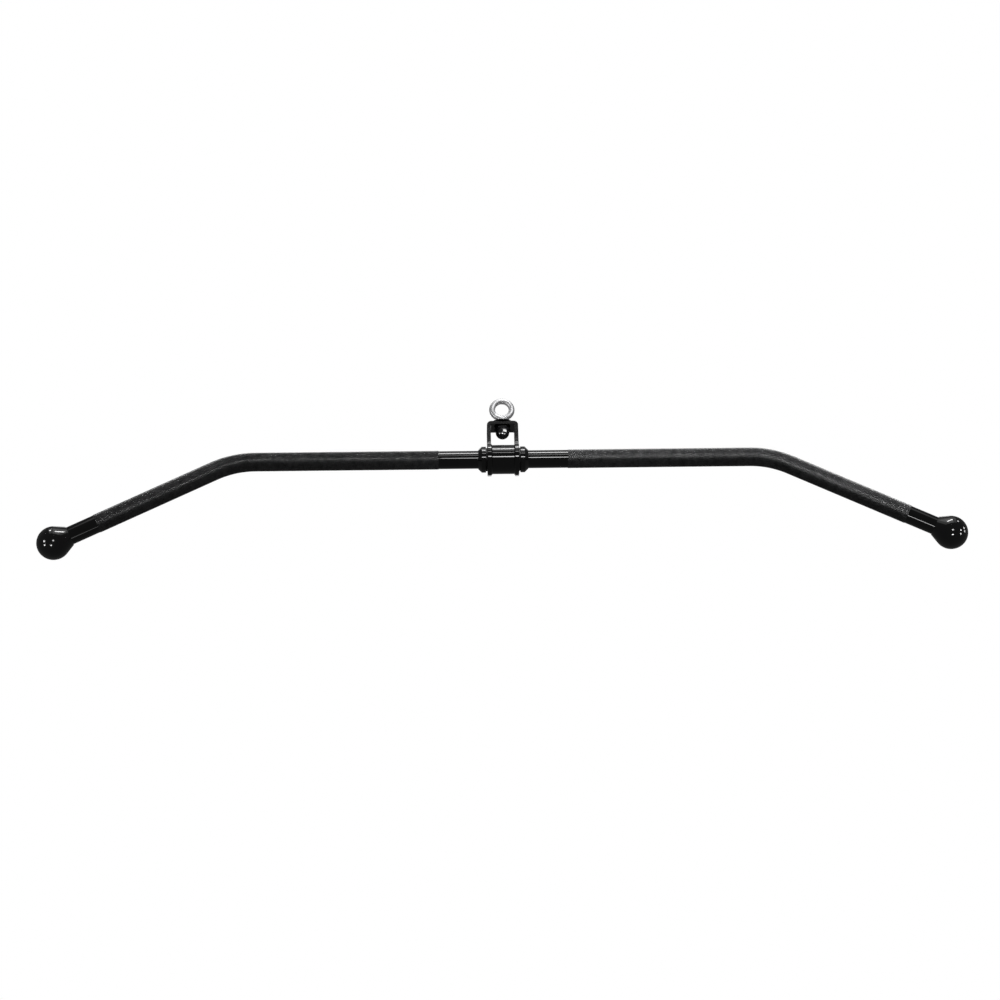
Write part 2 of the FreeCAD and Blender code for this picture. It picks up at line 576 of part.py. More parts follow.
def eye_bolt(doc):
    """Forged eye with a collar and a shank that goes down through the strap."""
    body = new_body(doc, "eye_bolt")
    section = new_sketch(body, "RingSection", "YZ_Plane")
    add_circle(section, "Sizes.eye_section / 2", ("0", EYE_RING_RADIUS))
    add_turned(body, "Ring", section, "Y_Axis")
    stem = new_sketch(body, "StemOutline", "XZ_Plane")
    collar = f"({SHANK_RADIUS} + Sizes.eye_collar_step)"
    collar_top = "(Sizes.eye_collar - Sizes.eye_rise)"
    neck_top = "(Sizes.eye_section / 2 * Sizes.eye_neck_share)"
    add_outline(stem, [("0", f"-{EYE_RING_RADIUS}"), (neck_top, f"-{EYE_RING_RADIUS}"),
                       (f"{collar} - Sizes.eye_neck_ledge", collar_top), (collar, collar_top),
                       (collar, "-Sizes.eye_rise"), (SHANK_RADIUS, "-Sizes.eye_rise"),
                       (SHANK_RADIUS, f"{SHANK_END} + Sizes.shank_bevel"),
                       (f"{SHANK_RADIUS} - Sizes.shank_bevel", SHANK_END), ("0", SHANK_END)])
    add_turned(body, "Stem", stem, "Z_Axis")
    dress_edges(body, "Fillet", "CollarRounding", "Sizes.eye_collar_edge", rims(body, collar))
    land = new_sketch(body, "LandOutline", "XZ_Plane")
    add_circle(land, "Sizes.eye_hole_radius")
    cut_pocket(body, "Land", land, "Sizes.eye_section + Sizes.overrun", symmetric=True)


def dome_nut(doc):
    """Hexagon nut with bevelled corners, a round dome below and a blind threaded hole."""
    body = new_body(doc, "dome_nut", NUT_SEAT, turn="Sizes.nut_turn", axis=UPWARDS)
    corner = "Sizes.nut_flats / sqrt(3)"
    hexagonal = new_sketch(body, "HexagonOutline", "XY_Plane", "-Sizes.nut_height")
    add_outline(hexagonal, hexagon("Sizes.nut_flats"))
    add_pad(body, "Hexagon", hexagonal, "Sizes.nut_height")
    bevels = new_sketch(body, "BevelOutline", "XZ_Plane")
    outside = f"({corner} + Sizes.overrun)"
    fall = f"({outside} - {DOME_RADIUS}) * tan(Sizes.nut_bevel_angle)"
    add_outline(bevels, [(DOME_RADIUS, "0"), (outside, "0"), (outside, f"-{fall}")])
    add_outline(bevels, [(DOME_RADIUS, "-Sizes.nut_height"), (outside, f"{fall} - Sizes.nut_height"),
                         (outside, "-Sizes.nut_height")])
    cut_groove(body, "Bevels", bevels, "Z_Axis")
    dome = body.newObject("PartDesign::AdditiveSphere", "Dome")
    dome.setExpression("Radius", DOME_RADIUS)
    dome.AttachmentSupport = (origin_plane(body, "XY_Plane"), "")
    dome.MapMode = "FlatFace"
    dome.setExpression("AttachmentOffset.Base.z", f"-{DOME_DEPTH}")
    doc.recompute()
    seat = new_sketch(body, "SeatOutline", "XY_Plane")
    add_circle(seat, "Sizes.nut_flats")
    cut_pocket(body, "Seat", seat, "Sizes.nut_flats", backwards=True)
    hole = new_sketch(body, "HoleOutline", "XY_Plane")
    add_circle(hole, THREAD_BORE)
    cut_pocket(body, "Hole", hole, NUT_HOLE_DEPTH)


def check_document(doc):
    """Stop if any step has failed or any piece isn't one sound solid."""
    for item in doc.Objects:
        if {"Invalid", "Error"} & set(item.State):
            raise RuntimeError(f"{item.Label} failed: {item.State}")
    for body in doc.findObjects("PartDesign::Body"):
        if body.Shape.isNull() or not body.Shape.isValid() or len(body.Shape.Solids) != 1:
            raise RuntimeError(f"{body.Label} isn't one sound solid")


def write_parts(doc):
    """Write each piece to a file of its own name."""
    os.makedirs("parts", exist_ok=True)
    for body in doc.findObjects("PartDesign::Body"):
        body.Shape.exportStep(f"parts/{body.Label}.step")
        print(f"{body.Label}: {body.Shape.Volume:.0f} cubic mm")


def main():
    """Build every piece, check them and write them."""
    doc = FreeCAD.newDocument("LatPulldownBar")
    size_sheet(doc)
    bar(doc)
    sides = (("right", "0", "Sizes.bend_angle"), ("left", "180", "180 - Sizes.bend_angle"))
    for side, turn, arm_turn in sides:
        ball_end(doc, side, arm_turn)
        stop_collar(doc, side, turn)
        sleeve_bush(doc, side, turn)
        weld_bead(doc, side, turn)
        for level in ("upper", "lower"):
            collar_screw(doc, side, level)
    pivot_sleeve(doc)
    hanger_bracket(doc)
    swivel_bush(doc)
    thrust_washer(doc, "upper_thrust_washer", f"{STRAP_TOP} + Sizes.swivel_flange",
                  UPPER_WASHER_RADIUS, "Sizes.upper_washer")
    thrust_washer(doc, "lower_thrust_washer", NUT_SEAT, LOWER_WASHER_RADIUS, "Sizes.lower_washer")
    eye_bolt(doc)
    dome_nut(doc)
    doc.recompute()
    check_document(doc)
    write_parts(doc)


main()
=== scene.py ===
import json
import math

import bmesh
import bpy
from bpy.props import FloatProperty, FloatVectorProperty, PointerProperty
from mathutils import Matrix, Vector

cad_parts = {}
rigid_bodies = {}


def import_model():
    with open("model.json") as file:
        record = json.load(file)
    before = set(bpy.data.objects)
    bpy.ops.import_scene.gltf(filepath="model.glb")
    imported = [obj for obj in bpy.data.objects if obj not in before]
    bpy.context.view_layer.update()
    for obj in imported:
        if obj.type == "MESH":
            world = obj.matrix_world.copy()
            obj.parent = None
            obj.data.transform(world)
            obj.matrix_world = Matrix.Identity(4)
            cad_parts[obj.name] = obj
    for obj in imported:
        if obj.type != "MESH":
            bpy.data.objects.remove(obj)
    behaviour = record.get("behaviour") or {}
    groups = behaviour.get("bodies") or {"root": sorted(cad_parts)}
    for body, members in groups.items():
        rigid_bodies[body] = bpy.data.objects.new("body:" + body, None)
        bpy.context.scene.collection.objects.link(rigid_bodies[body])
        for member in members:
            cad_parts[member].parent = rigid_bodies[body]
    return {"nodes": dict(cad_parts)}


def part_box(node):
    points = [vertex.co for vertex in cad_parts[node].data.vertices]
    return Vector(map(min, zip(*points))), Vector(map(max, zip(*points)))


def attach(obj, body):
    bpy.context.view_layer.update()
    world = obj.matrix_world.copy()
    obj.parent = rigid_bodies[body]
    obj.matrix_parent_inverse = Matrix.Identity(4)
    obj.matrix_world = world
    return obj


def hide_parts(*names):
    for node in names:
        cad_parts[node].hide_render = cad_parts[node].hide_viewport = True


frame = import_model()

bl_info = {
    "name": "Lat pulldown bar",
    "version": (1, 0, 0),
    "blender": (4, 2, 0),
    "location": "3D View > Sidebar > Pulldown bar",
    "description": "Knurled grips, ball ends, forged eye and finishes around the packed parts",
    "category": "Object",
}

# The frame's own places and sizes, in metres: the origin is the centre of the eye's hole.
SLEEVE_LOW, SLEEVE_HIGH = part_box("pivot_sleeve")
AXIS_HEIGHT = (SLEEVE_LOW.z + SLEEVE_HIGH.z) / 2
BALL_LOW, BALL_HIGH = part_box("ball_end_right")
BALL_RADIUS = (BALL_HIGH.y - BALL_LOW.y) / 2
EYE_LOW, EYE_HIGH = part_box("eye_bolt")
KNURL_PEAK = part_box("bar")[1].y

ALONG_BAR = Vector((1, 0, 0))
BACK = Vector((0, 1, 0))
UP = Vector((0, 0, 1))
MERGE_DISTANCE = 1e-7
STEPS_AROUND = 96


def length_property(name, description, default):
    """A size in metres."""
    return FloatProperty(name=name, description=description, default=default, min=0, precision=5,
                         unit="LENGTH")


def angle_property(name, description, degrees):
    """An angle, stored in radians."""
    return FloatProperty(name=name, description=description, default=math.radians(degrees),
                         unit="ROTATION")


def colour_property(name, description, default):
    """A linear colour."""
    return FloatVectorProperty(name=name, description=description, default=default, min=0, max=1,
                               size=3, subtype="COLOR")


class PulldownSizes(bpy.types.PropertyGroup):
    """Sizes of the pieces that are modelled here."""

    bar_radius: length_property("Bar radius", "Radius of the smooth bar", 0.012)
    straight_half: length_property("Straight half", "Middle of the bar to a bend's corner point", 0.36)
    bend_angle: angle_property("Bend angle", "Fall of each arm below the straight", 27.3)
    bend_radius: length_property("Bend radius", "Centreline radius of each bend", 0.118)
    arm_length: length_property("Arm length", "A bend's corner point to the ball's centre", 0.256)
    smooth_middle: length_property("Smooth middle", "Middle of the bar to the start of a grip", 0.0867)
    smooth_end: length_property("Smooth end", "End of a grip to the centre of the ball", 0.0592)
    socket_depth: length_property("Socket depth", "Bar's reach past the centre of the ball", 0.008)
    bar_end_bevel: length_property("Bar end bevel", "Bevel at both ends of the bar", 0.0015)
    knurl_peak: length_property("Knurl peak", "Radius over the knurl's tips", KNURL_PEAK)
    knurl_valley: length_property("Knurl valley", "Radius at the bottom of the knurl", 0.0121)
    knurl_flat: length_property("Knurl flat", "Half width of the knurl's worn tips", 0.00016)
    ball_radius: length_property("Ball radius", "Radius of the ball ends", BALL_RADIUS)
    ball_mouth_radius: length_property("Ball mouth radius", "Outer radius of the ball's neck", 0.01302)
    ball_neck: length_property("Ball neck", "How far the neck stands proud of the ball", 0.0047)
    fit: length_property("Fit", "Clearance between glued pieces", 0.00002)
    eye_section: length_property("Eye section", "Radius of the eye's round section", 0.004)
    weld_leg: length_property("Weld leg", "Leg of the weld beads inside the lugs", 0.0016)


class PulldownColours(bpy.types.PropertyGroup):
    """Colours of the finishes and the stage."""

    enamel: colour_property("Enamel", "Gloss black of bar and hanger", (0.002, 0.002, 0.0022))
    knurl: colour_property("Knurl", "Blackened metal of the grips", (0.018, 0.018, 0.0185))
    knurl_worn: colour_property("Worn knurl", "Lighter tips of the knurl", (0.13, 0.13, 0.133))
    plastic: colour_property("Plastic", "Moulded ball ends", (0.002, 0.002, 0.0022))
    nylon: colour_property("Nylon", "Plain bushes", (0.012, 0.012, 0.012))
    oxide: colour_property("Oxide", "Blackened screws and washers", (0.02, 0.02, 0.022))
    zinc: colour_property("Zinc", "Plated eye bolt", (0.6, 0.6, 0.61))
    floor: colour_property("Floor", "Pale floor", (0.75, 0.75, 0.75))


def sizes():
    """The sizes in use."""
    return bpy.context.scene.pulldown_sizes


def colours():
    """The colours in use."""
    return bpy.context.scene.pulldown_colours


def arm_direction():
    """The way the right arm runs from its bend to its ball."""
    angle = sizes().bend_angle
    return Vector((math.cos(angle), 0, -math.sin(angle)))


def corner_point():
    """The corner point of the right bend."""
    return Vector((sizes().straight_half, 0, AXIS_HEIGHT))


def bend_tangent():
    """How far the bend starts before its corner point."""
    return sizes().bend_radius * math.tan(sizes().bend_angle / 2)


# Modelling steps that several pieces share.


def select_only(piece):
    """Make one piece the only selected and active one."""
    bpy.ops.object.select_all(action="DESELECT")
    piece.select_set(True)
    bpy.context.view_layer.objects.active = piece


def add_primitive(operator, name, **settings):
    """Add a primitive on its own, name it and clear its place and turn."""
    bpy.ops.object.select_all(action="DESELECT")
    operator(**settings)
    piece = bpy.context.object
    piece.name = piece.data.name = name
    bpy.ops.object.transform_apply(location=True, rotation=True, scale=True)
    return piece


def edit(piece):
    """Open one piece in edit mode with everything selected."""
    select_only(piece)
    bpy.ops.object.mode_set(mode="EDIT")
    bpy.context.tool_settings.mesh_select_mode = (True, False, False)
    bpy.ops.mesh.select_all(action="SELECT")


def pick(piece, kind, wanted):
    """Select the verts, edges or faces of the edited piece that a test picks."""
    bpy.context.tool_settings.mesh_select_mode = [kind == each for each in ("verts", "edges", "faces")]
    bpy.ops.mesh.select_all(action="DESELECT")
    mesh = bmesh.from_edit_mesh(piece.data)
    for element in getattr(mesh, kind):
        if wanted(element):
            element.select_set(True)
    mesh.select_flush_mode()
    bmesh.update_edit_mesh(piece.data)


def close_edit():
    """Merge doubles, turn the normals outwards and leave edit mode."""
    bpy.ops.mesh.select_all(action="SELECT")
    bpy.ops.mesh.remove_doubles(threshold=MERGE_DISTANCE)
    bpy.ops.mesh.normals_make_consistent(inside=False)
    bpy.ops.object.mode_set(mode="OBJECT")


def apply_modifier(piece, kind, **settings):
    """Add a modifier to a piece and apply it."""
    bpy.context.view_layer.objects.active = piece
    modifier = piece.modifiers.new(kind, kind)
    for name, value in settings.items():
        setattr(modifier, name, value)
    bpy.ops.object.modifier_apply(modifier=modifier.name)


def extrude(offset):
    """Extrude the selected edges along a vector."""
    bpy.ops.mesh.extrude_edges_move(TRANSFORM_OT_translate={"value": offset})


def narrow(factor, centre=(0, 0, 0), along=1):
    """Scale what is selected about a centre, across the X axis and along it."""
    bpy.ops.transform.resize(value=(along, factor, factor), center_override=centre)


def turned(name, outline, centre, along, out, steps=STEPS_AROUND):
    """A piece of revolution from (place along the axis, radius) pairs."""
    # A tiny plane merged to one point starts the outline, which is drawn out of it and then spun.
    piece = add_primitive(bpy.ops.mesh.primitive_plane_add, name, size=MERGE_DISTANCE)
    edit(piece)
    bpy.ops.mesh.merge(type="CENTER")
    points = [centre + along * distance + out * radius for distance, radius in outline]
    bpy.ops.transform.translate(value=points[0])
    for here, there in zip(points, points[1:]):
        bpy.ops.mesh.extrude_vertices_move(TRANSFORM_OT_translate={"value": there - here})
    bpy.ops.mesh.select_all(action="SELECT")
    bpy.ops.mesh.spin(steps=steps, angle=math.tau, center=centre, axis=along)
    close_edit()
    return piece


def smooth(piece, degrees=35):
    """Shade a piece smooth up to an angle."""
    select_only(piece)
    bpy.ops.object.shade_smooth_by_angle(angle=math.radians(degrees))


def mirrored(piece, name):
    """A copy of a right-hand piece for the left, with its own mesh."""
    select_only(piece)
    bpy.ops.object.duplicate(linked=False)
    twin = bpy.context.object
    twin.name = twin.data.name = name
    twin.scale.x = -1
    bpy.ops.object.transform_apply(location=False, rotation=False, scale=True)
    edit(twin)
    bpy.ops.mesh.normals_make_consistent(inside=False)
    bpy.ops.object.mode_set(mode="OBJECT")
    return twin


def dress(piece, material):
    """Give a piece its one material."""
    piece.data.materials.clear()
    piece.data.materials.append(material)


def place(piece, body, slot, material, *nodes):
    """Finish a piece: its material, the body that carries it and the CAD nodes that it stands for."""
    dress(piece, material)
    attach(piece, body)
    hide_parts(*nodes)


# Procedural materials.

# Bump heights in metres, and how bright the plating's dull marks are against the rest.
PEEL_HEIGHT = 0.00003
FORGING_HEIGHT = 0.00006
DULL_SHARE = 0.5


def add_node(tree, kind, inputs=(), **settings):
    """Add a shader node; an input is a value or another node's output."""
    node = tree.nodes.new(f"ShaderNode{kind}")
    for name, value in settings.items():
        setattr(node, name, value)
    for name, value in dict(inputs).items():
        if isinstance(value, bpy.types.NodeSocket):
            tree.links.new(value, node.inputs[name])
        else:
            node.inputs[name].default_value = value
    return node


def start_material(name, colour, **values):
    """A material with one principled shader; values set its sockets."""
    material = bpy.data.materials.get(name)
    if material:
        return material, None, None
    material = bpy.data.materials.new(name)
    material.use_nodes = True
    tree = material.node_tree
    shader = tree.nodes["Principled BSDF"]
    shader.inputs["Base Color"].default_value = (*colour, 1)
    for socket, value in values.items():
        shader.inputs[socket.replace("_", " ")].default_value = value
    return material, tree, shader


def object_noise(tree, scale, detail=2, roughness=0.5):
    """Noise over the object's own coordinates."""
    spot = add_node(tree, "TexCoord").outputs["Object"]
    inputs = {"Vector": spot, "Scale": scale, "Detail": detail, "Roughness": roughness}
    return add_node(tree, "TexNoise", inputs).outputs["Fac"]


def times(tree, first, second):
    """The product of two values or outputs."""
    return add_node(tree, "Math", {0: first, 1: second}, operation="MULTIPLY").outputs[0]


def ring_noise(tree, scale, along, detail, roughness):
    """Noise drawn out along a ring round the object's Y axis, as a forging's marks are."""
    own = add_node(tree, "TexCoord").outputs["Object"]
    spot = add_node(tree, "SeparateXYZ", {"Vector": own}).outputs
    flat = add_node(tree, "CombineXYZ", {"X": spot["X"], "Z": spot["Z"]})
    radius = add_node(tree, "VectorMath", {"Vector": flat.outputs[0]}, operation="LENGTH")
    vector = add_node(tree, "CombineXYZ", {"X": radius.outputs["Value"], "Y": spot["Y"],
                                           "Z": times(tree, spot["X"], along)})
    inputs = {"Vector": vector.outputs[0], "W": times(tree, spot["Z"], along), "Scale": scale,
              "Detail": detail, "Roughness": roughness}
    return add_node(tree, "TexNoise", inputs, noise_dimensions="4D").outputs["Fac"]


def spread(tree, value, low, high, start=0.35, end=0.65):
    """Map a noise value from start..end to low..high."""
    inputs = {"Value": value, "From Min": start, "From Max": end, "To Min": low, "To Max": high}
    return add_node(tree, "MapRange", inputs).outputs["Result"]


def vary_roughness(tree, shader, noise, low, high):
    """Let the roughness follow a noise value."""
    tree.links.new(spread(tree, noise, low, high), shader.inputs["Roughness"])


def blend_colour(tree, shader, first, second, share):
    """Blend the base colour from one colour to another."""
    blend = add_node(tree, "Mix", {"Factor": share}, data_type="RGBA")
    blend.inputs["A"].default_value = (*first, 1)
    blend.inputs["B"].default_value = (*second, 1)
    tree.links.new(blend.outputs["Result"], shader.inputs["Base Color"])


def add_bump(tree, shader, height, distance):
    """Bump from a height value."""
    bump = add_node(tree, "Bump", {"Height": height, "Distance": distance, "Strength": 1.0})
    tree.links.new(bump.outputs["Normal"], shader.inputs["Normal"])


def glossy(name, colour, marks, peel, low, high, **values):
    """A gloss black with faint handling marks and a faint orange peel, each at its noise scale."""
    material, tree, shader = start_material(name, colour, **values)
    if tree:
        vary_roughness(tree, shader, object_noise(tree, marks, detail=4, roughness=0.6), low, high)
        add_bump(tree, shader, object_noise(tree, peel), PEEL_HEIGHT)
    return material


def satin(name, colour, grain, low, high, **values):
    """A finish whose roughness varies with a fine grain."""
    material, tree, shader = start_material(name, colour, **values)
    if tree:
        vary_roughness(tree, shader, object_noise(tree, grain, detail=3), low, high)
    return material


def enamel():
    """Gloss black enamel on the smooth bar."""
    return glossy("gloss_bar", colours().enamel, 60, 90, 0.03, 0.07, Specular_IOR_Level=0.5)


def hanger_enamel():
    """The same gloss black on the hanger, its nut and the collars."""
    return glossy("gloss_hanger", colours().enamel, 90, 110, 0.03, 0.07, Specular_IOR_Level=0.5)


def plastic():
    """Moulded glossy plastic of the ball ends."""
    return glossy("moulded_ball", colours().plastic, 45, 70, 0.06, 0.12, IOR=1.5)


def nylon():
    """Matte nylon of the bushes."""
    return satin("black_nylon", colours().nylon, 150, 0.4, 0.55)


def oxide():
    """Black oxide of the set screws and washers."""
    return satin("blackened_steel", colours().oxide, 300, 0.28, 0.42, Metallic=0.6)


def knurled():
    """Blackened knurl whose worn tips are lighter."""
    material, tree, shader = start_material("knurled_grip", colours().knurl, Roughness=0.25,
                                            Specular_IOR_Level=0.35)
    if tree:
        wear = add_node(tree, "Attribute", attribute_name="wear").outputs["Fac"]
        noise = object_noise(tree, 110, detail=5, roughness=0.75)
        patches = spread(tree, noise, low=0.2, high=1.25)
        blend_colour(tree, shader, colours().knurl, colours().knurl_worn, times(tree, wear, patches))
    return material


def zinc():
    """Mottled zinc plating over a forged surface."""
    material, tree, shader = start_material("plated_forging", colours().zinc, Metallic=0.5)
    if tree:
        marks = ring_noise(tree, 260, along=0.3, detail=4, roughness=0.65)
        vary_roughness(tree, shader, marks, low=0.25, high=0.45)
        dull = [DULL_SHARE * tone for tone in colours().zinc]
        share = spread(tree, marks, low=0.0, high=1.0, start=0.3, end=0.6)
        blend_colour(tree, shader, dull, colours().zinc, share)
        add_bump(tree, shader, object_noise(tree, 420, detail=3), FORGING_HEIGHT)
    return material


# The pieces.


class PieceOperator:
    """What every operator here shares."""

    bl_options = {"REGISTER", "UNDO"}


class PULLDOWN_OT_bar_core(PieceOperator, bpy.types.Operator):
    """Smooth bent bar inside the grips"""

    bl_idname = "pulldown.bar_core"
    bl_label = "Bar core"

    bend_steps = 24

    def execute(self, context):
        s = sizes()
        piece = add_primitive(bpy.ops.mesh.primitive_circle_add, "bar_core", vertices=STEPS_AROUND,
                              radius=s.bar_radius, location=(0, 0, AXIS_HEIGHT),
                              rotation=(0, math.pi / 2, 0))
        edit(piece)
        start = s.straight_half - bend_tangent()
        extrude(ALONG_BAR * start)
        centre = Vector((start, 0, AXIS_HEIGHT - s.bend_radius))
        bpy.ops.mesh.spin(steps=self.bend_steps, angle=s.bend_angle, center=centre, axis=-BACK)
        end = s.arm_length + s.socket_depth
        extrude(arm_direction() * (end - bend_tangent() - s.bar_end_bevel))
        extrude(arm_direction() * s.bar_end_bevel)
        tip = corner_point() + arm_direction() * end
        factor = 1 - s.bar_end_bevel / s.bar_radius
        narrow(factor, tip, along=factor)
        bpy.ops.mesh.edge_face_add()
        close_edit()
        apply_modifier(piece, "MIRROR", use_axis=(True, False, False), merge_threshold=MERGE_DISTANCE)
        smooth(piece)
        place(piece, "bar", "bar_enamel", enamel(), "bar")
        return {"FINISHED"}


class PULLDOWN_OT_grips(PieceOperator, bpy.types.Operator):
    """Knurled grips, from the hanger out round both bends"""

    bl_idname = "pulldown.grips"
    bl_label = "Knurled grips"

    # Rows of the knurl along a grip, cuts of its bore and steps of its route round the bend.
    rows = 352
    bore_rows = 90
    route_steps = 96
    # The part of a row within which the ends of two rows merge.
    merge_share = 0.05
    sharp_from = 1

    def execute(self, context):
        s = sizes()
        centreline = [Vector((s.smooth_middle, 0, AXIS_HEIGHT)),
                      corner_point() - ALONG_BAR * bend_tangent(),
                      corner_point() + arm_direction() * bend_tangent(),
                      corner_point() + arm_direction() * (s.arm_length - s.smooth_end)]
        bend = s.bend_radius * s.bend_angle
        straight, arm = (centreline[1] - centreline[0]).length, (centreline[3] - centreline[2]).length
        bevel = s.knurl_peak - s.knurl_valley
        pitch = (straight + bend + arm - 2 * bevel) / self.rows
        length = self.rows * pitch
        piece = self.knurled_ring(pitch)
        apply_modifier(piece, "ARRAY", count=self.rows // 2, relative_offset_displace=(1, 0, 0),
                       use_merge_vertices=True, merge_threshold=pitch * self.merge_share)
        self.flatten_tips(piece, pitch, length)
        self.mark_wear(piece)
        self.close_ends(piece, pitch, length, bevel)
        self.bend(piece, centreline)
        smooth(piece, self.sharp_from)
        place(piece, "bar", "bar_enamel", knurled())
        place(mirrored(piece, "knurled_grip_left"), "bar", "bar_enamel", knurled())
        return {"FINISHED"}

    def knurled_ring(self, pitch):
        """Two rows of the knurl round the bar, every other vertex sunk to the valley."""
        s = sizes()
        piece = add_primitive(bpy.ops.mesh.primitive_circle_add, "knurled_grip_right",
                              vertices=STEPS_AROUND, radius=s.knurl_peak, rotation=(0, math.pi / 2, 0))
        edit(piece)
        extrude(ALONG_BAR * pitch)
        extrude(ALONG_BAR * pitch)
        step = math.tau / STEPS_AROUND

        def in_valley(vertex):
            around = round(math.atan2(vertex.co.z, vertex.co.y) / step)
            return (around + round(vertex.co.x / pitch)) % 2

        pick(piece, "verts", in_valley)
        narrow(s.knurl_valley / s.knurl_peak)
        bpy.ops.mesh.select_all(action="SELECT")
        bpy.ops.mesh.quads_convert_to_tris(quad_method="SHORTEST_DIAGONAL")
        bpy.ops.object.mode_set(mode="OBJECT")
        return piece

    def flatten_tips(self, piece, pitch, length):
        """Wear a small flat on each tip between the end rows."""
        s = sizes()
        between = (s.knurl_peak + s.knurl_valley) / 2
        edit(piece)
        pick(piece, "verts", lambda v: v.co.yz.length > between
             and pitch / 2 < v.co.x < length - pitch / 2)
        bpy.ops.mesh.bevel(offset=s.knurl_flat, affect="VERTICES")
        bpy.ops.object.mode_set(mode="OBJECT")

    def mark_wear(self, piece):
        """Keep how near each vertex lies to the tips, for the material."""
        s = sizes()
        bpy.context.view_layer.objects.active = piece
        bpy.ops.geometry.attribute_add(name="wear", domain="POINT", data_type="FLOAT")
        depth = s.knurl_peak - s.knurl_valley
        wear = [max(0, 1 - (s.knurl_peak - v.co.yz.length) / depth) for v in piece.data.vertices]
        piece.data.attributes["wear"].data.foreach_set("value", wear)

    def close_ends(self, piece, pitch, length, bevel):
        """Slope both ends down to the bar and join them by a bore with rows for the bend."""
        s = sizes()
        edit(piece)
        for end, way in ((0, -1), (length, 1)):
            pick(piece, "edges", lambda e: e.is_boundary
                 and all(abs(v.co.x - end) < pitch / 2 for v in e.verts))
            extrude(ALONG_BAR * way * bevel)
            narrow((s.bar_radius - bevel + 2 * s.knurl_flat) / s.knurl_peak)
        pick(piece, "edges", lambda e: e.is_boundary)
        bpy.ops.mesh.bridge_edge_loops(number_cuts=self.bore_rows)
        close_edit()

    def bend(self, piece, centreline):
        """Lay the straight grip along the bar's centreline."""
        bpy.ops.object.select_all(action="DESELECT")
        bpy.ops.curve.primitive_bezier_curve_add()
        route = bpy.context.object
        bpy.ops.object.transform_apply()
        route.data.resolution_u = self.route_steps
        points = route.data.splines[0].bezier_points
        points.add(len(centreline) - len(points))
        # The reach of the handles that lets a Bezier curve follow an arc.
        reach = 4 / 3 * math.tan(sizes().bend_angle / 4) * sizes().bend_radius
        ways = [ALONG_BAR, ALONG_BAR, arm_direction(), arm_direction()]
        for point, spot, way in zip(points, centreline, ways):
            point.handle_left_type = point.handle_right_type = "FREE"
            point.co = spot
            point.handle_left, point.handle_right = spot - way * reach, spot + way * reach
        apply_modifier(piece, "CURVE", object=route, deform_axis="POS_X")
        bpy.data.objects.remove(route)


class PULLDOWN_OT_ball_ends(PieceOperator, bpy.types.Operator):
    """Ball ends with a flared neck and a blind socket"""

    bl_idname = "pulldown.ball_ends"
    bl_label = "Ball ends"

    arc_steps = 40
    # How far the edge of the neck's mouth is broken.
    lip = 0.0003

    def execute(self, context):
        s = sizes()
        mouth = -(math.sqrt(s.ball_radius ** 2 - s.ball_mouth_radius ** 2) + s.ball_neck)
        lean = math.atan2(s.ball_mouth_radius, mouth)
        touch = lean - math.acos(s.ball_radius / math.hypot(mouth, s.ball_mouth_radius))
        arc = [touch * step / self.arc_steps for step in range(self.arc_steps + 1)]
        outline = [(s.ball_radius * math.cos(angle), s.ball_radius * math.sin(angle)) for angle in arc]
        bore = s.bar_radius + s.fit
        outline += [(mouth + self.lip, s.ball_mouth_radius + self.lip / 3),
                    (mouth, s.ball_mouth_radius - self.lip), (mouth, bore),
                    (s.socket_depth, bore), (s.socket_depth, 0)]
        centre = corner_point() + arm_direction() * s.arm_length
        piece = turned("ball_right", outline, centre, arm_direction(), arm_direction().cross(BACK))
        smooth(piece)
        place(piece, "bar", "ball_plastic", plastic(), "ball_end_right")
        place(mirrored(piece, "ball_left"), "bar", "ball_plastic", plastic(), "ball_end_left")
        return {"FINISHED"}


class PULLDOWN_OT_weld_beads(PieceOperator, bpy.types.Operator):
    """Rippled weld beads between the sleeve and the lugs"""

    bl_idname = "pulldown.weld_beads"
    bl_label = "Weld beads"

    steps = 240
    ripples = 40
    ripple_height = 0.00012
    # Of the leg: the corners of the bead's round face, and what stays still at its toes.
    face_shares = (0.4, 0.72)
    toe_share = 0.1
    # Of a ripple's turn, on each side of its crest: what rises.
    crest_share = 0.2
    sharp_from = 60

    def execute(self, context):
        s = sizes()
        low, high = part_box("weld_bead_right")
        root = high.x
        inner = (high.z - low.z) / 2 - s.weld_leg
        leg = s.weld_leg - self.ripple_height
        near, far = (share * leg for share in self.face_shares)
        outline = [(root, inner), (root, inner + leg), (root - near, inner + far),
                   (root - far, inner + near), (root - leg, inner), (root, inner)]
        centre = Vector((0, 0, AXIS_HEIGHT))
        piece = turned("weld_right", outline, centre, ALONG_BAR, UP, self.steps)
        toe = self.toe_share * leg
        spacing = math.tau / self.ripples
        edit(piece)
        for ripple in range(self.ripples):
            crest = Vector((math.sin(spacing * ripple), math.cos(spacing * ripple)))
            pick(piece, "verts", lambda v: (v.co - centre).yz.length > inner + toe
                 and v.co.x < root - toe
                 and (v.co - centre).yz.normalized().dot(crest) > math.cos(spacing * self.crest_share))
            bpy.ops.transform.translate(value=-ALONG_BAR * self.ripple_height)
        bpy.ops.object.mode_set(mode="OBJECT")
        smooth(piece, self.sharp_from)
        place(piece, "hanger", "hanger_enamel", hanger_enamel(), "weld_bead_right")
        place(mirrored(piece, "weld_left"), "hanger", "hanger_enamel", hanger_enamel(), "weld_bead_left")
        return {"FINISHED"}


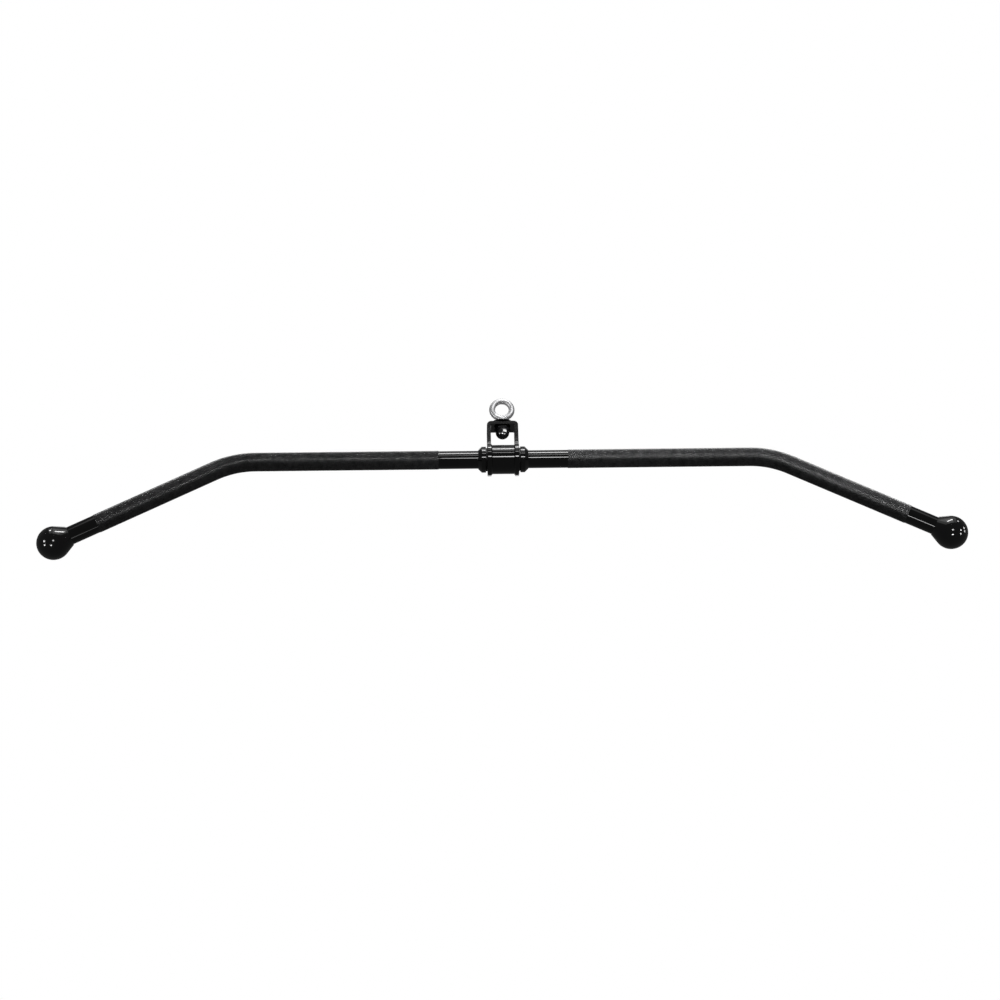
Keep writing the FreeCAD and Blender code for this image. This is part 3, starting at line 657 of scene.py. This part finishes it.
class PULLDOWN_OT_eye_bolt(PieceOperator, bpy.types.Operator):
    """Forged eye with its neck, collar and shank in one"""

    bl_idname = "pulldown.eye_bolt"
    bl_label = "Eye bolt"

    ring_steps = (160, 64)
    # The neck's radius at the ring and over its foot, and the foot that widens to the collar.
    neck, neck_low, foot, foot_height = 0.00352, 0.0066, 0.007, 0.0012
    # The collar's radius, height, chamfer and clearance over the washer.
    collar, collar_height, collar_chamfer, collar_float = 0.0085, 0.003, 0.0004, 0.00025
    shank, shank_chamfer = 0.006, 0.0012
    # A fine remesh and a few smoothing rounds blend the ring into its neck, as forging does.
    voxel = 0.0003
    rounds = 6
    sharp_from = 60

    def execute(self, context):
        section = sizes().eye_section
        ring_radius = (EYE_HIGH.x - EYE_LOW.x) / 2 - section
        piece = add_primitive(bpy.ops.mesh.primitive_torus_add, "forged_eye_bolt",
                              major_radius=ring_radius, minor_radius=section,
                              major_segments=self.ring_steps[0], minor_segments=self.ring_steps[1],
                              rotation=(math.pi / 2, 0, 0))
        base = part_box("upper_thrust_washer")[1].z + self.collar_float
        top = base + self.collar_height
        end = EYE_LOW.z
        outline = [(-ring_radius, 0), (-ring_radius, self.neck),
                   (top + self.foot_height, self.neck_low), (top, self.foot),
                   (top, self.collar - self.collar_chamfer / 2),
                   (top - self.collar_chamfer, self.collar),
                   (base + self.collar_chamfer, self.collar), (base, self.collar - self.collar_chamfer),
                   (base, self.shank), (end + self.shank_chamfer, self.shank),
                   (end, self.shank - self.shank_chamfer), (end, 0)]
        stem = turned("stem", outline, Vector(), UP, ALONG_BAR)
        apply_modifier(piece, "BOOLEAN", object=stem, operation="UNION", solver="EXACT")
        bpy.data.objects.remove(stem)
        apply_modifier(piece, "REMESH", mode="VOXEL", voxel_size=self.voxel, use_smooth_shade=True)
        apply_modifier(piece, "SMOOTH", factor=0.5, iterations=self.rounds)
        smooth(piece, self.sharp_from)
        place(piece, "eye", "zinc_plate", zinc(), "eye_bolt")
        return {"FINISHED"}


class PULLDOWN_OT_carried_over(PieceOperator, bpy.types.Operator):
    """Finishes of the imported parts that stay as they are"""

    bl_idname = "pulldown.carried_over"
    bl_label = "Packed parts"

    # For each slot its finish, and how the names of its parts start.
    finishes = {
        "hanger_enamel": (hanger_enamel, ("stop_collar", "pivot_sleeve", "hanger_bracket", "dome_nut")),
        "bearing_nylon": (nylon, ("sleeve_bush", "swivel_bush")),
        "black_oxide": (oxide, ("collar_screw", "upper_thrust_washer", "lower_thrust_washer")),
    }

    def execute(self, context):
        for slot, (finish, starts) in self.finishes.items():
            for name, node in frame["nodes"].items():
                if name.startswith(starts):
                    dress(node, finish())
        return {"FINISHED"}


class PULLDOWN_OT_stage(PieceOperator, bpy.types.Operator):
    """Pale floor, studio lamps, world and camera"""

    bl_idname = "pulldown.stage"
    bl_label = "Stage"

    floor_size, floor_height, floor_glow = 200, -1.7, 0.9
    white, dim = (1, 1, 1, 1), (0.12, 0.12, 0.12, 1)
    camera_turns = (-1.7, -28.0, -1.45)
    camera_target, camera_distance = (-0.0056, 0, -0.1386), 2.4
    sensor_width, lens = 36, 65.3

    # Each key says what its lamps face and how the names of the pieces start that they light, with
    # nothing there if they light all. Each lamp has a name, azimuth, elevation, distance, width,
    # height, radiance and, if it is narrow, a spread. Angles are in degrees, lengths in metres.
    lamps = {
        ("hanger", ""): [
            ("overhead", 5, 70, 3.0, 4.0, 3.0, 0.6),
            ("softbox", 8, 62, 2.9, 1.8, 2.3, 0.8),
            ("key", 21, 65, 2.8, 1.5, 0.2, 32),
            ("front", 3, 28, 3.0, 0.7, 0.16, 10, 16),
            ("camera", 3, -7, 1.5, 0.34, 0.17, 26, 12),
            ("back", 180, 50, 3.0, 2.5, 1.0, 1),
        ],
        ("hanger", "knurled_grip hanger_bracket forged_eye_bolt"): [
            ("behind", 175, 0, 3.0, 3.0, 1.2, 2),
        ],
        ("left_grip", "knurled_grip_left"): [
            ("left_grip", -10, 50, 2.0, 1.6, 0.9, 4),
        ],
        ("right_grip", "knurled_grip_right"): [
            ("right_grip", -20, 60, 2.0, 2.4, 1.5, 9),
        ],
        ("eye", "forged_eye_bolt"): [
            ("eye_front", 25, 20, 1.2, 0.9, 0.5, 4.5),
            ("eye_left", -55, -10, 1.2, 0.4, 0.8, 5),
        ],
        ("hanger", "hanger_bracket"): [
            ("strap_front", 0, 28, 2.0, 3.0, 0.5, 0.35),
        ],
        ("nut", "dome_nut"): [
            ("nut_right", 39, 13, 0.74, 0.8, 0.5, 20),
            ("nut_left", -20, 62, 0.7, 0.9, 0.2, 12),
            ("nut_low_left", -62, -27, 0.6, 0.2, 0.2, 16),
            ("nut_low_right", 48, -40, 0.6, 0.2, 0.2, 14),
            ("nut_low", 0, -39, 0.6, 0.24, 0.14, 40),
        ],
        ("left_ball", "ball_left"): [
            ("left_low", -5, -41, 1.6, 0.2, 0.18, 40),
            ("left_middle", 9, -9, 1.5, 0.2, 0.18, 22),
            ("left_side", -53, -5, 2.0, 0.25, 0.25, 40),
            ("left_side_low", -58, -27, 2.0, 0.22, 0.22, 40),
            ("left_top", -43, 65, 2.0, 0.22, 0.28, 22),
        ],
        ("right_ball", "ball_right"): [
            ("right_low", -4, -41, 1.6, 0.26, 0.18, 40),
            ("right_middle", -2, -9, 1.5, 0.26, 0.18, 22),
            ("right_side", 54, -3, 2.0, 0.22, 0.22, 36),
            ("right_side_low", 60, -23, 2.0, 0.22, 0.22, 36),
            ("right_top", 63, 51, 2.0, 0.22, 0.22, 16),
            ("right_rim", 82, 16, 2.0, 0.3, 0.3, 13),
            ("right_rim_low", 88, 4, 2.0, 0.3, 0.3, 11),
        ],
        ("left_ball", "bar_core"): [
            ("left_arm", 48, -53, 1.3, 0.2, 0.12, 2, 24),
        ],
        ("right_ball", "bar_core"): [
            ("right_arm", -21, -37, 1.5, 0.3, 0.12, 14, 24),
        ],
    }

    def execute(self, context):
        self.floor()
        self.world()
        ball = corner_point() + arm_direction() * sizes().arm_length
        grip = corner_point()
        nut_low, nut_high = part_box("dome_nut")
        faced = {"hanger": Vector((0, 0, AXIS_HEIGHT)), "eye": Vector(), "nut": (nut_low + nut_high) / 2,
                 "right_grip": grip, "left_grip": Vector((-grip.x, 0, grip.z)),
                 "right_ball": ball, "left_ball": Vector((-ball.x, 0, ball.z))}
        for (target, lit), lamps in self.lamps.items():
            for name, azimuth, elevation, distance, *shape in lamps:
                way = self.direction(math.radians(azimuth), math.radians(elevation))
                lamp = self.lamp(name, faced[target] + way * distance, -way, *shape)
                if lit:
                    self.light_only(lamp, name, lit)
        self.camera()
        context.scene.view_settings.view_transform = "Standard"
        return {"FINISHED"}

    def direction(self, azimuth, elevation):
        """The way from the bar to something in front of it."""
        return Vector((math.sin(azimuth) * math.cos(elevation), -math.cos(azimuth) * math.cos(elevation),
                       math.sin(elevation)))

    def floor(self):
        """A wide floor below the camera, pale out to its horizon, that the gloss doesn't reflect."""
        floor = add_primitive(bpy.ops.mesh.primitive_plane_add, "floor", size=self.floor_size,
                              location=(0, 0, self.floor_height))
        material = satin("pale_floor", colours().floor, 3, 0.8, 0.95, Emission_Color=self.white,
                         Emission_Strength=self.floor_glow)
        material.cycles.emission_sampling = "NONE"
        dress(floor, material)
        floor.visible_diffuse = floor.visible_glossy = False

    def world(self):
        """White behind the object and dim around it."""
        world = bpy.data.worlds.new("studio")
        world.use_nodes = True
        tree = world.node_tree
        tree.nodes.clear()
        seen, around = (add_node(tree, "Background", {"Color": tone}) for tone in (self.white, self.dim))
        path = add_node(tree, "LightPath")
        mix = add_node(tree, "MixShader", {"Fac": path.outputs["Is Camera Ray"], 1: around.outputs[0],
                                           2: seen.outputs[0]})
        add_node(tree, "OutputWorld", {"Surface": mix.outputs[0]})
        bpy.context.scene.world = world

    def lamp(self, name, spot, way, width, height, radiance, spread=180):
        """An area lamp of a given radiance that faces along a direction."""
        bpy.ops.object.select_all(action="DESELECT")
        bpy.ops.object.light_add(type="AREA", location=spot)
        lamp = bpy.context.object
        lamp.name = f"lamp_{name}"
        lamp.rotation_euler = way.to_track_quat("-Z", "Y").to_euler()
        lamp.data.shape, lamp.data.size, lamp.data.size_y = "RECTANGLE", width, height
        lamp.data.spread = math.radians(spread)
        # A narrow lamp reaches the same radiance with less energy.
        half = lamp.data.spread / 2
        focus = 1 if spread == 180 else 1 - half / math.tan(half)
        lamp.data.energy = math.pi * radiance * focus * width * height
        lamp.visible_camera = False
        return lamp

    def light_only(self, lamp, name, starts):
        """Let a lamp light only the pieces whose names start in one of the given ways."""
        receivers = bpy.data.collections.new(f"lit_by_{name}")
        for piece in bpy.data.objects:
            if piece.name.startswith(tuple(starts.split())):
                receivers.objects.link(piece)
        lamp.light_linking.receiver_collection = receivers

    def camera(self):
        """Camera below the bar, at the photograph's angle."""
        azimuth, elevation, roll = (math.radians(angle) for angle in self.camera_turns)
        back = self.direction(azimuth, elevation)
        right = (-back).cross(UP).normalized()
        up = right.cross(-back)
        tilted = right * math.cos(roll) + up * math.sin(roll)
        turn = Matrix((tilted, back.cross(tilted), back)).transposed()
        spot = Vector(self.camera_target) + back * self.camera_distance
        bpy.ops.object.select_all(action="DESELECT")
        bpy.ops.object.camera_add(location=spot, rotation=turn.to_euler())
        camera = bpy.context.object
        camera.name = "photo_camera"
        camera.data.sensor_width, camera.data.lens = self.sensor_width, self.lens
        bpy.context.scene.camera = camera


class PULLDOWN_PT_panel(bpy.types.Panel):
    """Lists the pieces and the stage"""

    bl_label = "Pulldown bar"
    bl_idname = "PULLDOWN_PT_panel"
    bl_space_type = "VIEW_3D"
    bl_region_type = "UI"
    bl_category = "Pulldown bar"

    def draw(self, context):
        for operator in OPERATORS:
            self.layout.operator(operator.bl_idname)
        for group in (context.scene.pulldown_sizes, context.scene.pulldown_colours):
            for name in group.bl_rna.properties.keys():
                if name not in ("rna_type", "name"):
                    self.layout.prop(group, name)


OPERATORS = (PULLDOWN_OT_bar_core, PULLDOWN_OT_grips, PULLDOWN_OT_ball_ends, PULLDOWN_OT_weld_beads,
             PULLDOWN_OT_eye_bolt, PULLDOWN_OT_carried_over, PULLDOWN_OT_stage)
CLASSES = (PulldownSizes, PulldownColours, *OPERATORS, PULLDOWN_PT_panel)


def register():
    """Register the classes and hang the two groups on the scene."""
    for each in CLASSES:
        bpy.utils.register_class(each)
    bpy.types.Scene.pulldown_sizes = PointerProperty(type=PulldownSizes)
    bpy.types.Scene.pulldown_colours = PointerProperty(type=PulldownColours)


def unregister():
    """Take the groups and the classes away again."""
    del bpy.types.Scene.pulldown_sizes
    del bpy.types.Scene.pulldown_colours
    for each in reversed(CLASSES):
        bpy.utils.unregister_class(each)


def main():
    """Register the classes and build every piece and the stage."""
    register()
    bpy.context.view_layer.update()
    for operator in (bpy.ops.pulldown.bar_core, bpy.ops.pulldown.grips, bpy.ops.pulldown.ball_ends,
                     bpy.ops.pulldown.weld_beads, bpy.ops.pulldown.eye_bolt,
                     bpy.ops.pulldown.carried_over, bpy.ops.pulldown.stage):
        operator()


if __name__ == "__main__":
    main()
